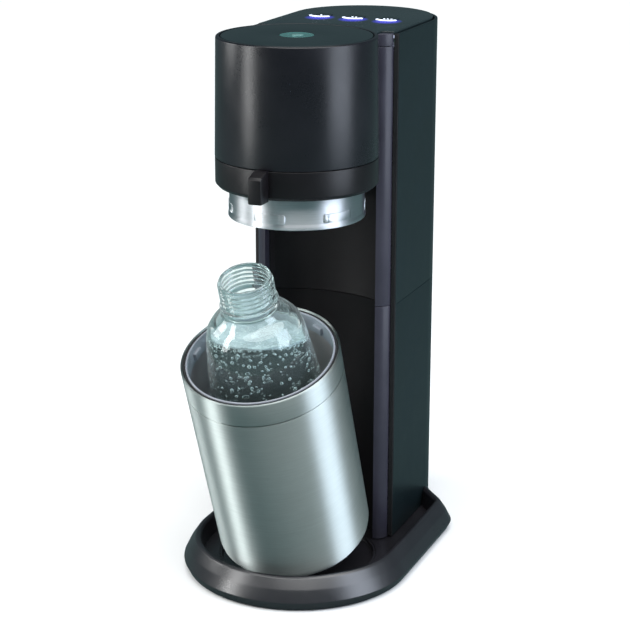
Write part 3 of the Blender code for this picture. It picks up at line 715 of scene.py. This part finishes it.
def glass():
    top, foot = BOTTLE_TOP, BOTTLE_FOOT
    root = NECK_R - THREAD_DEPTH
    lip = rounded([(BORE_R, top - 3), (BORE_R, top, 1.0), (root, top, 1.2), (root, top - 3)], 6)[1:-1]
    neck = [(root, top - down) for down in np.arange(1.3, 20.6, 0.28)]
    bead = [(root, top - 20), (22.6, top - 20.6, 1.2), (22.6, top - 24.6, 1.4), (20.4, top - 27)]
    bead = rounded(bead, 5)[1:-1]
    waist = smooth(from_top([(20.6, 26.4), (20.9, 29), (25.0, 33.2), (31.6, 38), (36.3, 44.5)]))
    side = [(36.3, 44.5), (38.6, 54), (40.4, 69), (42.6, 87), (44.5, 107), (45, 121), (45, 157)]
    side = smooth(from_top(side))
    heel = [(BOTTLE_R, 100), (BOTTLE_R, foot, 10.0), (33, foot, 1.5), (29, foot + 2.4, 6), (0, foot + 2.4)]
    profile = bottle_inside()[:-1] + lip + neck + bead + waist[:-1] + side[:-1] + rounded(heel, 8)[1:]
    bm = spun(profile, FINE + 32, False, threaded)
    piece("bottle_glass", bm, GLASS, LEAN, "glass_bottle", sharp_deg=60)


def level_plane():
    """A point on the water's surface and the direction up, in the leaning frame's millimetres."""
    back = LEAN.inverted()
    point = back @ Vector((0, LEAN.translation.y, WATER_LEVEL * MM)) / MM
    return point, (back.to_3x3() @ Vector((0, 0, 1))).normalized()


def water():
    point, up = level_plane()
    inside = [(r + 0.12 if r > 0.1 else 0.0, z) for r, z in bottle_inside() if z < BOTTLE_TOP - 15]
    bm = spun(inside + [(0, inside[-1][1])], FINE, False)
    everything = bm.verts[:] + bm.edges[:] + bm.faces[:]
    bmesh.ops.bisect_plane(bm, geom=everything, plane_co=point, plane_no=up, clear_outer=True)
    rim = [edge for edge in bm.edges if edge.is_boundary]
    loop = in_order(rim)
    bmesh.ops.edgeloop_fill(bm, edges=rim)
    piece("water", bm, WATER, LEAN, body="bottle", sharp_deg=30)
    surface(loop, up)
    return loop


def in_order(edges):
    """The corners round a closed loop of edges."""
    edge = edges[0]
    vert = edge.verts[0]
    found = []
    left = set(edges)
    while left:
        found.append(vert.co.copy())
        left.discard(edge)
        vert = edge.other_vert(vert)
        edge = next((e for e in vert.link_edges if e in left), None)
        if edge is None:
            break
    return found


def surface(loop, up):
    """A thin skin on the water, with low waves: partly fizzing froth, partly a painted reflection of the bright
    studio.
    """
    middle = sum(loop, Vector()) / len(loop)
    side = up.orthogonal().normalized()
    other = up.cross(side)
    shares = [0.0, *np.linspace(0.06, 0.985, 22)]

    def lifted(share, corner, base):
        spot = middle + (corner - middle) * share
        u, v = (spot - middle).dot(side), (spot - middle).dot(other)
        wave = math.sin(u * 0.23 + 1.3) * math.cos(v * 0.19) + 0.5 * math.sin(u * 0.51 - v * 0.43)
        rim = max(0.0, (share - 0.9) / 0.085) ** 2
        return spot + up * (base + (0.28 * wave + 0.9 * rim) * (base > 0))

    bm = bmesh.new()
    skins = []
    for base in (0.55, -0.25):
        centre = bm.verts.new(lifted(0.0, middle, base))
        rows = [[bm.verts.new(lifted(share, corner, base)) for corner in loop] for share in shares[1:]]
        for i in range(len(loop)):
            j = (i + 1) % len(loop)
            bm.faces.new((centre, rows[0][i], rows[0][j]))
            for inner, outer in zip(rows, rows[1:]):
                bm.faces.new((inner[i], outer[i], outer[j], inner[j]))
        skins.append(rows[-1])
    for i in range(len(loop)):
        j = (i + 1) % len(loop)
        bm.faces.new((skins[0][i], skins[0][j], skins[1][j], skins[1][i]))
    piece("water_froth", bm, FROTH_AND_REFLECTION, LEAN, body="bottle", sharp_deg=50)


def inside_radius(height):
    points = np.array(bottle_inside())
    return float(np.interp(height, points[:, 1], points[:, 0]))


def bubbles(loop):
    """Gas bubbles on the wall and through the water, and larger ones in a row at the waterline."""
    pick = np.random.default_rng(7)
    point, up = level_plane()
    spots = []
    while len(spots) < BUBBLES:
        height = BOTTLE_FOOT + 14 + (pick.beta(2.6, 1.1)) * 195
        wall = inside_radius(height)
        size = 0.48 + 0.95 * pick.random() ** 2.2
        reach = wall - size - 0.25 if pick.random() < 0.72 else (wall - 4) * math.sqrt(pick.random())
        angle = pick.random() * 2 * math.pi
        spot = Vector((reach * math.cos(angle), reach * math.sin(angle), height))
        if (point - spot).dot(up) > size + 0.5:
            spots.append((spot, size))
    middle = sum(loop, Vector()) / len(loop)
    for corner in loop[::3]:
        if pick.random() < 0.62:
            size = 0.9 + 1.2 * pick.random()
            spots.append((corner + (middle - corner).normalized() * (size + 0.3) - up * size * 0.75, size))
    centres = np.array([spot for spot, size in spots])
    sizes = np.array([size for spot, size in spots])
    corners, triangles = ball()
    points = (centres[:, None] + corners * sizes[:, None, None]).reshape(-1, 3) * MM
    shifts = np.arange(len(spots))[:, None, None] * len(corners)
    mesh = bpy.data.meshes.new("water_bubbles")
    mesh.from_pydata(points.tolist(), [], (triangles + shifts).reshape(-1, 3).tolist())
    mesh.materials.append(BUBBLE)
    mesh.shade_smooth()
    stand_in(placed("water_bubbles", mesh, LEAN), body="bottle")


def ball():
    """The corners and triangles of a round ball with a radius of 1."""
    bm = bmesh.new()
    bmesh.ops.create_icosphere(bm, subdivisions=2, radius=1.0)
    corners = np.array([vert.co for vert in bm.verts])
    triangles = np.array([[vert.index for vert in face.verts] for face in bm.faces])
    bm.free()
    return corners, triangles


# ---------------------------------------------------------------- column

GAP_X, GAP_Y = (58.6, 62.2), (55.1, 56.35)


def column():
    jack_z, latch_z = middle_of("power_jack")[2], middle_of("cover_latch")[2]
    low, tail_z = low_of("lower_housing"), low_of("rear_cover")
    housing = prism("housing_shell", column_wall(), low, SEAM_Z - 0.3, SHADED_WALL_SLATE, "lower_housing")
    tail_room = cutter(block((-90, TAIL_Y, tail_z - 0.3), (90, 260, 300)))
    cut(housing, tail_room, cutter(barrel(5.0, 160, 220, (0, jack_z), COARSE, "Y")))
    softened(housing, 0.3)

    cover = prism("cover_shell", column_wall(), tail_z, top_of("rear_cover"), SHADED_WALL_SLATE, "rear_cover")
    lower_room = cutter(block((-90, 0, 0), (90, TAIL_Y + 0.3, SEAM_Z)))
    cut(cover, lower_room, cutter(barrel(9.4, 160, 220, (0, latch_z), MEDIUM, "Y")))
    softened(cover, 0.3)

    for side, word in ((-1, "left"), (1, "right")):
        plan = post_outline(side)
        for part, node in (("shaft_lower", "lower"), ("shaft_upper", "upper"), ("cap", "cap")):
            name = f"post_{word}_{node}"
            prism(f"{word}_{part}", plan, low_of(name), top_of(name), POST_GREY, name, edge=0.45)
        # A near-black strip in the groove between each post and the wall: painted shadow standing in for the shade
        # in that gap.
        strip = [(GAP_X[0], GAP_Y[0]), (GAP_X[1], GAP_Y[0]), (GAP_X[1], GAP_Y[1]), (GAP_X[0], GAP_Y[1])]
        strip = strip if side > 0 else mirrored(strip)
        low, high = low_of("post_right_lower") + 0.5, top_of("post_right_cap") - 0.6
        prism(f"groove_shadow_{word}", strip, low, high, RUBBER, edge=0.2, body="machine")
    for word in ("lower", "upper"):
        node = f"{word}_front_panel"
        prism(f"{word}_recess", recess_outline(), low_of(node), top_of(node), RECESS_BLACK, node, edge=0.5)


def post_outline(side):
    """A front post: a bulged face between its inner and outer corners, and a flat back."""
    low, high = span("post_right_lower", HEAD)
    inner_x, outer_x, front_y, back_y = low[0], high[0] - 1.8, low[1], high[1]
    face = []
    for i in range(15):
        share = i / 14
        bulge = 1.6 * math.sin(math.pi * share)
        x = inner_x + 0.4 + (outer_x - inner_x - 0.4) * share + bulge * 0.4
        face.append((x, front_y + 0.8 + 7.6 * share - bulge))
    right = face + [(outer_x, back_y), (inner_x + 0.8, back_y), (inner_x, front_y + 2.2)]
    return right if side > 0 else mirrored(right)


def recess_outline(thick=2.2):
    """The concave panel behind the carrier: short cheeks and a shallow arc between them."""
    edge_x, edge_y, deep_y = 46.5, 60.0, 72.0
    cheek_x, cheek_y = 49.0, 55.2
    radius = (edge_x**2 + (deep_y - edge_y) ** 2) / (2 * (deep_y - edge_y))
    centre = (0, deep_y - radius)
    half_deg = math.degrees(math.asin(edge_x / radius))
    front = arc(centre, radius, 90 - half_deg, 90 + half_deg, 56)
    back = arc(centre, radius + thick, 90 + half_deg + 1.5, 90 - half_deg - 1.5, 56)
    left = [(-cheek_x, cheek_y), (-cheek_x - 2.4, cheek_y)]
    return [(cheek_x, cheek_y)] + front + left + back + [(cheek_x + 2.4, cheek_y)]


# ---------------------------------------------------------------- head and lock

RING_R = 53.1


def head():
    top, low = top_of("head_shell"), low_of("head_shell")
    skirt_r = radius_of("head_shell")
    top_r = skirt_r - 1.6
    drum = [(59.4, top, 0.3), (top_r, top, 1.4), (skirt_r, low, 0.6), (skirt_r - 2.6, low, 0.4)]
    drum += [(60.0, top - 5.5), (57.0, top - 5.5), (57.0, top - 3.4), (59.4, top - 3.4)]
    turned("head_drum", drum, CHARCOAL, "head_shell")
    walls = [(-47.9, 75), (-47.9, 36), (47.9, 36), (47.9, 75)]
    walls += [(45.6, 75), (45.6, 38.3), (-45.6, 38.3), (-45.6, 75)]
    neck = piece("head_neck", prism_mesh(walls, low, top - 5.4, 0.2), CHARCOAL, HEAD)
    cut(neck, cutter(barrel(59.2, 300, 460)), cutter(block((-40, 40, 362), (40, 72, 428))))
    stand_in(neck, body="machine")

    badge_r = radius_of("lid_badge")
    lid = [(0, top - 0.8), (badge_r + 0.3, top - 0.8, 0.1), (badge_r + 0.3, top, 0.2)]
    lid_r = radius_of("head_lid") - 0.5
    lid += [(lid_r, top, 0.5), (lid_r, low_of("head_lid")), (0, low_of("head_lid"))]
    turned("head_disc", lid, SLATE, "head_lid")
    dished = [(0, top - 0.32), (badge_r - 2.4, top - 0.32, 1.0), (badge_r - 1.0, top, 0.5)]
    dished += [(badge_r, top, 0.4), (badge_r, top - 0.5), (0, top - 0.5)]
    turned("badge_dish", dished, BADGE, "lid_badge", steps=MEDIUM)
    droplet = arc((0, 0), 4.6, -60, 240, 30) + [(-1.2, -7.0), (0, -9.4), (1.2, -7.0)]
    droplet = [(x, y + 1.6) for x, y in droplet]
    prism("badge_drop", droplet, top - 0.4, top - 0.08, BADGE_MARK, edge=0.12, body="machine")


def lock():
    low, high = low_of("lock_collar"), top_of("lock_collar")
    radius = radius_of("lock_collar")
    collar = [(radius - 2.6, high, 0.3), (radius, high, 0.6), (radius, low + 2.6, 1.2)]
    collar += [(radius - 2.4, low, 0.8), (RING_R + 0.6, low), (RING_R + 0.6, low + 2.4)]
    collar += [(radius - 2.6, low + 2.4)]
    turned("collar_sleeve", collar, COLLAR_BLACK, "lock_collar")

    reach = -span("lock_lever", HEAD)[0][1]
    foot, head_z = low_of("lock_lever"), top_of("lock_lever")
    side = [(radius + 0.4, foot), (radius + 0.4, head_z), (68.5, head_z, 1.2), (77.0, head_z - 3.0, 2.0)]
    side += [(reach, head_z - 5.0, 1.0), (reach, foot, 1.4)]
    bm = prism_mesh(rounded(side, 4)[::-1], -5.5, 5.5, 1.1, 4)
    upright = Matrix(((0, 0, 1), (-1, 0, 0), (0, 1, 0)))
    bmesh.ops.transform(bm, verts=bm.verts, matrix=upright.to_4x4())
    piece("lock_handle", bm, COLLAR_BLACK, HEAD, "lock_lever", sharp_deg=45)
    ring()


def ring():
    top, low = top_of("bayonet_ring"), low_of("bayonet_ring")
    inner, lip = RING_R - 2.7, RING_R + 0.9
    wall = [(RING_R, top), (RING_R, low + 4.6, 1.5), (lip, low + 2.6, 1.0), (lip, low, 1.1)]
    wall += [(inner, low, 1.1), (inner, top)]
    turned("lock_ring", wall, RING_METAL, "bayonet_ring")
    for n in range(6):
        bayonet_lug(f"ring_lug_{n + 1}", 60 * n - 90, 1 if n % 2 == 0 else -1)


def bayonet_lug(name, middle_deg, way, half_deg=14.5):
    """A pressed lug along the ring: low for most of its length, with a raised stop at one end."""
    low, high, proud = 303.9, 310.9, radius_of("bayonet_ring")
    sections = []
    for i in range(41):
        share = -1 + 2 * i / 40
        angle = math.radians(middle_deg + half_deg * share)
        end = math.sqrt(max(0.0, 1 - max(0.0, (abs(share) - 0.86) / 0.14) ** 2))
        half = (high - low) / 2 * (0.25 + 0.75 * end)
        ahead = share * way
        rise = min(1.0, max(0.0, (ahead - 0.62) / 0.1)) * min(1.0, max(0.0, (0.985 - ahead) / 0.07))
        outer = RING_R + 0.55 * end + (proud - RING_R - 0.55) * rise
        middle = (low + high) / 2
        root = RING_R - 0.8
        outline = [(root, middle - half), (outer, middle - half, 0.35), (outer, middle + half, 0.35)]
        outline += [(root, middle + half)]
        sections.append([(r * math.cos(angle), r * math.sin(angle), z) for r, z in rounded(outline, 3)])
    piece(name, lofted(sections), RING_METAL, HEAD, body="lock", sharp_deg=50)


# ---------------------------------------------------------------- top panel and controls

BUTTONS = {"left": 1, "centre": 2, "right": 3}


def panel_finish():
    """The panel's plastic, with a painted blue glow in front of each lit crescent: emission standing in for the
    crescents' light falling on the panel.
    """
    graph = Graph(moulded("panel", (0.013, 0.021, 0.024), 0.28, 0.3, 0.006, Emission_Strength=1.0))
    where = graph.add("TexCoord").outputs["Object"]
    total = 0.0
    for word in BUTTONS:
        low, high = span(f"light_{word}", HEAD)
        reach = ((high[0] - low[0]) / 2 * 1.4, 14.0, 8.0)
        centre = ((low[0] + high[0]) / 2 + 3.5, low[1] - 3.0, high[2])
        inputs = {"Vector": where, "Scale": [1 / (r * MM) for r in reach]}
        inputs["Location"] = [-c / r for c, r in zip(centre, reach)]
        spot = graph.add("Mapping", inputs).outputs["Vector"]
        glow = graph.add("TexGradient", {"Vector": spot}, gradient_type="SPHERICAL").outputs["Fac"]
        total = graph.math("ADD", glow, total)
    strength = graph.math("MULTIPLY", total, 2.2, use_clamp=True)
    graph.set("Emission Color", graph.mixed(strength, (0, 0, 0), (0.045, 0.035, 0.62)))
    return graph.owner


def controls():
    low, high = low_of("top_panel"), top_of("top_panel")
    half = radius_of("top_panel") - 0.8
    neck_x, clear_r = 48.1, radius_of("head_shell") - 1.1
    start_deg = math.degrees(math.acos(neck_x / clear_r))
    front_y = 55.4
    back = arc((0, ARC_Y), half, 0, 180, 72)
    front = arc((0, 0), clear_r, 180 - start_deg, start_deg, 48)
    outline = [(neck_x, front_y), (half, front_y)] + back + [(-half, front_y), (-neck_x, front_y)] + front
    panel = prism("control_panel", outline, low, high, panel_finish(), "top_panel", edge=0.6)
    for word, count in BUTTONS.items():
        button = f"button_{word}"
        (x, y, _), radius, stem = middle_of(button), radius_of(button), low_of(button)
        hole = cutter(barrel(radius + 0.4, 400, 460, (x, y), MEDIUM))
        slot = cutter(prism_mesh(sector(9.3, 12.1, 270, 53, (x, y)), 425, 450, 0.1))
        cut(panel, hole, slot)
        cap = [(0, high + 0.1), (5, high + 0.2), (radius, high + 0.7, 0.5), (radius, high - 4.2, 0.3)]
        cap += [(2.5, high - 4.6), (2.5, stem), (0, stem)]
        turned(f"{word}_key", cap, PANEL_KEY, button, steps=MEDIUM, centre=(x, y))
        dot = [(0, high + 0.52), (0.8, high + 0.52, 0.12), (0.8, high), (0, high)]
        for n in range(count):
            spot = (x + (n - (count - 1) / 2) * 3.2, y - 3.4)
            turned(f"{word}_dot_{n + 1}", dot, LAMP, steps=TINY, centre=spot, body=f"{word}_button")
        glow = sector(9.6, 11.8, 270, 51, (x, y))
        prism(f"{word}_lamp", glow, 424, top_of(f"light_{word}"), LAMP, f"light_{word}", edge=0.25)


# ---------------------------------------------------------------- inside


CYLINDER_AT = (0, 118.0)
SOLENOID_AT = (-26, -14)
RELIEF_AT = (26, -14)
LATCH_Y, LATCH_Z = 198.6, 400
JACK_Y, JACK_Z = 197.2, 20

CRADLE = [(0, 13.4), (30.8, 13.4), (30.8, 26, 0.4), (34, 26, 0.6), (34, 11.4, 0.4), (0, 11.4)]
VALVE = [(0, 362.4), (4.6, 362.4, 0.3), (5, 356, 0.2), (10.5, 356, 0.8), (10.5, 335.3, 0.4), (0, 335.3)]
CONNECTOR = [(0, 383), (17, 383, 1.2), (17, 357, 0.5), (6, 357, 0.4), (6, 366), (0, 366)]
CUP = [(24.3, 404.6), (56.8, 404.6, 1.6), (56.8, 347.4, 0.4), (54.8, 347.4, 0.4)]
CUP += [(54.8, 402.4, 1.2), (24.3, 402.4)]
MANIFOLD = [(0, 421), (13, 421, 1.2), (13, 411), (40, 411, 0.8), (40, 405, 0.5), (23.9, 405)]
MANIFOLD += [(23.9, 400.8), (3.3, 400.8), (3.3, 412), (0, 412)]
NOZZLE = [(3, 411), (3, 315, 0.7), (1.6, 314, 0.4), (1.6, 411)]
SEAL = [(23.5, 400.5, 0.4), (23.5, 395.8, 0.8), (4, 395.8, 0.8), (4, 400.5, 0.4)]
RELIEF = [(0, 428), (3, 428, 0.6), (3, 423), (5, 422.5, 0.4), (5, 411.3, 0.3), (0, 411.3)]
PLUNGER = [(0, 433.5), (3, 433.5, 0.6), (3, 415, 0.3), (0, 415)]

INNER_PIECES = {
    "cylinder_cradle": (CRADLE, CYLINDER_AT),
    "cylinder_valve": (VALVE, CYLINDER_AT),
    "valve_connector": (CONNECTOR, CYLINDER_AT),
    "head_cup": (CUP, (0, 0)),
    "manifold": (MANIFOLD, (0, 0)),
    "nozzle_tube": (NOZZLE, (0, 0)),
    "bottle_seal": (SEAL, (0, 0)),
    "relief_valve": (RELIEF, RELIEF_AT),
    "solenoid_plunger": (PLUNGER, SOLENOID_AT),
}


def facing_back(y, z):
    """A frame in the column's back with +Z out of it."""
    return HEAD @ Matrix.Translation((0, y * MM, z * MM)) @ Matrix.Rotation(math.radians(-90), 4, "X")


def inside():
    """The gas side and the head's inner pieces, seen with the cover off or from below."""
    for node, (profile, centre) in INNER_PIECES.items():
        finish = CAD_FINISH[NODES[node].data.materials[0].name]
        turned(f"{node}_fine", profile, finish, node, steps=MEDIUM, centre=centre)

    shoulder = smooth([(12, 325), (16, 321), (24, 313), (28.5, 304), (30, 293)])
    body = [(0, 335), (11.5, 335, 0.4), (11.5, 327), *shoulder, (30, 200)]
    body += [(30, 22), (29.2, 17.4, 4.0), (24, 13.7, 2.0), (0, 13.7)]
    turned("gas_cylinder_fine", body, PAINT, "gas_cylinder", steps=MEDIUM, centre=CYLINDER_AT)
    coil = [(3.4, 430, 0.3)]
    for n in range(14):
        height = 429.6 - n * 1.3
        coil += [(9.5, height), (10.0, height - 0.65)]
    coil += [(9.5, 411.3, 0.3), (3.4, 411.3, 0.3)]
    turned("solenoid_coil_fine", coil, TAPE, "solenoid_coil", steps=MEDIUM, centre=SOLENOID_AT)

    latch = [(0, -0.7), (5.5, -0.5), (8.4, 0, 0.4), (9.0, -0.9, 0.4), (9.0, -6.8)]
    latch += [(11.5, -6.8, 0.3), (11.5, -8.8), (0, -8.8)]
    turned("latch_button", latch, DARK, "cover_latch", facing_back(LATCH_Y, LATCH_Z), MEDIUM)
    jack = [(4.7, 0, 0.5), (4.7, -11.5, 0.3), (0, -11.5), (0, -10.5), (2.8, -10.5), (2.8, 0, 0.3)]
    turned("jack_barrel", jack, DARK, "power_jack", facing_back(JACK_Y, JACK_Z), COARSE)
    pin = [(0, -2), (0.9, -2, 0.3), (0.9, -11), (0, -11)]
    turned("jack_pin", pin, PIN, at=facing_back(JACK_Y, JACK_Z), steps=TINY, body="machine")


def finish_cad_nodes():
    """Procedural finishes for the CAD nodes that stay."""
    for obj in NODES.values():
        obj.data.materials[0] = CAD_FINISH.get(obj.data.materials[0].name, DARK)
        if not obj.hide_render:
            softened(obj, 0.2)


# ---------------------------------------------------------------- stage, lights and camera

LIT_POINT = Vector((0, 0, 0.2))
PAPER = (0.87, 0.87, 0.87)
ROOM = (0.072, 0.112, 0.122)
BACKDROP = (1.0, 1.0, 1.0)
FLOOR_IN_GLOSS = (0.098, 0.155, 0.155)


def area_light(name, azimuth, elevation, distance, size, power, colour=(1, 1, 1)):
    """A softbox round the object. Azimuth 0 is in front and positive to the right."""
    light = bpy.data.lights.new(name, "AREA")
    light.shape = "RECTANGLE"
    light.size, light.size_y = size
    light.energy = power
    light.color = colour
    obj = placed(name, light)
    a, e = math.radians(azimuth), math.radians(elevation)
    away = Vector((math.sin(a) * math.cos(e), -math.cos(a) * math.cos(e), math.sin(e)))
    obj.location = LIT_POINT + away * distance
    obj.rotation_euler = away.to_track_quat("Z", "Y").to_euler()


def stage():
    """A pale floor out to the horizon, even light from above, a strip box on each side and a dim room."""
    bm = bmesh.new()
    bmesh.ops.create_grid(bm, x_segments=4, y_segments=4, size=40.0)
    mesh = bpy.data.meshes.new("floor")
    bm.to_mesh(mesh)
    bm.free()
    graph = principled("floor_paper", PAPER, 0.9, Specular_IOR_Level=0.1)
    graph.set("Roughness", graph.mapped(graph.noise(300, 2), 0.8, 1.0))
    mirrored_ray = graph.add("LightPath").outputs["Is Glossy Ray"]
    graph.set("Base Color", graph.mixed(mirrored_ray, PAPER, FLOOR_IN_GLOSS))
    mesh.materials.append(graph.owner)
    placed("floor", mesh)

    world = bpy.data.worlds.new("studio")
    bpy.context.scene.world = world
    graph = Graph(world)
    path = graph.add("LightPath").outputs
    seen = graph.math("MAXIMUM", path["Is Camera Ray"], path["Is Transmission Ray"])
    graph.feed(graph.tree.nodes["Background"].inputs["Color"], graph.mixed(seen, ROOM, BACKDROP))

    sun = bpy.data.lights.new("ceiling", "SUN")
    sun.energy = 3.6
    sun.angle = math.radians(70)
    placed("ceiling", sun).rotation_euler = (math.radians(12), math.radians(8), 0)
    area_light("left_box", -44, 12, 1.3, (0.30, 1.5), 11)
    area_light("side_box", -76, 22, 1.0, (0.30, 0.40), 2.2)
    area_light("right_box", 84, 14, 1.2, (0.66, 1.5), 14.5, (0.80, 0.87, 1.0))


CAMERA_AZIMUTH = 23.58
CAMERA_PITCH = 16.06
CAMERA_AT = (0.5532, -1.2837, 0.6459)
FOCAL_PIXELS = 1791.8
FRAME_PIXELS = 630
SHIFT_X, SHIFT_Y = 0.0127, -0.0714


def camera():
    data = bpy.data.cameras.new("camera")
    data.sensor_width = 36.0
    data.lens = FOCAL_PIXELS / FRAME_PIXELS * data.sensor_width
    data.shift_x, data.shift_y = SHIFT_X, SHIFT_Y
    obj = placed("camera", data)
    obj.location = CAMERA_AT
    obj.rotation_euler = (math.radians(90 - CAMERA_PITCH), 0, math.radians(CAMERA_AZIMUTH))
    bpy.context.scene.camera = obj
    bpy.context.scene.view_settings.view_transform = "Standard"


base()
dish()
seat()
carrier()
glass()
waterline = water()
bubbles(waterline)
column()
head()
lock()
controls()
inside()
finish_cad_nodes()
stage()
camera()
